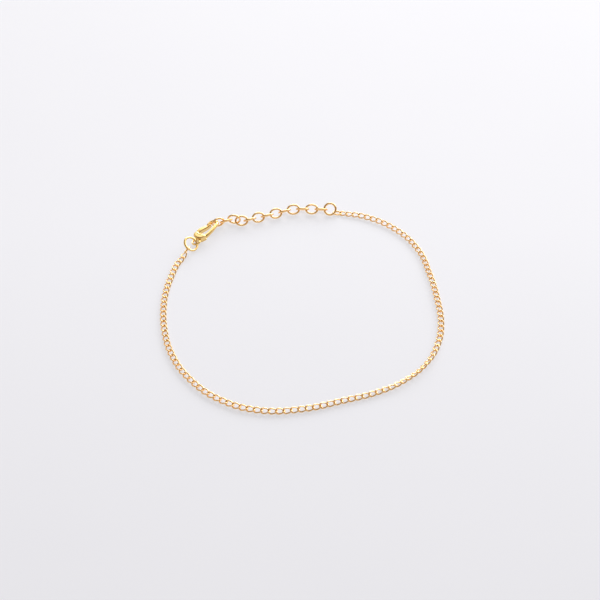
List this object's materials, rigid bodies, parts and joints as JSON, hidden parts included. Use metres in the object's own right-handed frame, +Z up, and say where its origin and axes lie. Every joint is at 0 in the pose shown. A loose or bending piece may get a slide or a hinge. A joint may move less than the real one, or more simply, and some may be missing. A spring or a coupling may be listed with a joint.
{
  "type": "anklet",
  "caption": "Fine gold curb chain anklet with an oval-link extender, round jump rings and a lobster clasp whose lever swings, lying closed in a loop.",
  "frame": {"origin": "the middle of the loop, on the surface that it lies on", "axes": "+X to the right of the loop, +Y away from its front towards the clasp and the extender, +Z up from the surface"},
  "size_m": [0.0752, 0.078, 0.0033],
  "materials": {
    "chain_gold": "gold-plated, polished, a warm orange gold",
    "clasp_gold": "gold-plated, polished, a paler lemon gold"
  },
  "bodies": {
    "anklet": {"clasp_body": "clasp_gold", "clasp_pin": "clasp_gold", "jump_ring_clasp": "clasp_gold", "curb_chain": "chain_gold", "jump_ring_extender": "chain_gold", "extender_link_01": "chain_gold", "extender_link_02": "chain_gold", "extender_link_03": "chain_gold", "extender_link_04": "chain_gold", "extender_link_05": "chain_gold", "extender_link_06": "chain_gold", "extender_link_07": "chain_gold", "extender_link_08": "chain_gold", "extender_link_09": "chain_gold", "extender_link_10": "chain_gold", "extender_link_11": "chain_gold", "extender_link_12": "chain_gold", "extender_link_13": "chain_gold"},
    "lever": {"clasp_lever": "clasp_gold"}
  },
  "joints": [
    {"name": "clasp_lever_hinge", "type": "hinge", "parent": "anklet", "child": "lever", "pos_m": [-0.02967, 0.02689, 0.00088], "axis": [0.264, -0.0995, -0.9594], "range_deg": [0, 12], "stiffness_Nm_per_rad": 0.0002, "springref_deg": -28.65}
  ]
}
